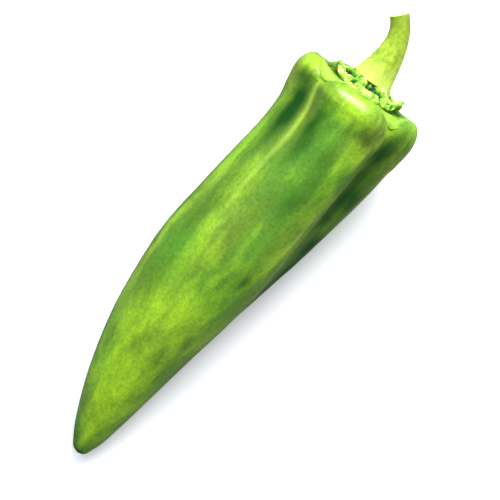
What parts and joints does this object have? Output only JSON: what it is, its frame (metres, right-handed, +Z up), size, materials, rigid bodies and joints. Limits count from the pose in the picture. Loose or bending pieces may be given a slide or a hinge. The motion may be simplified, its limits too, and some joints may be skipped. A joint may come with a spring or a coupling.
{
  "type": "chilli pepper",
  "caption": "Long green chilli pepper lying on its side: a tapering lobed pod with its calyx and a short bent stem.",
  "frame": {"origin": "under the centre of the whole pepper's bounding box, on the surface that the pod lies on", "axes": "+X along the pod from its tip towards the stem, +Y to the pod's left, the side that the stem bends to, and +Z up from the surface it lies on"},
  "size_m": [0.185, 0.0502, 0.0458],
  "materials": {
    "pod_skin": "waxy green skin, glossy",
    "calyx": "dry crinkled green, matte",
    "stem": "smooth pale green, satin"
  },
  "bodies": {
    "root": {"pod": "pod_skin", "calyx": "calyx", "stem": "stem"}
  },
  "joints": []
}
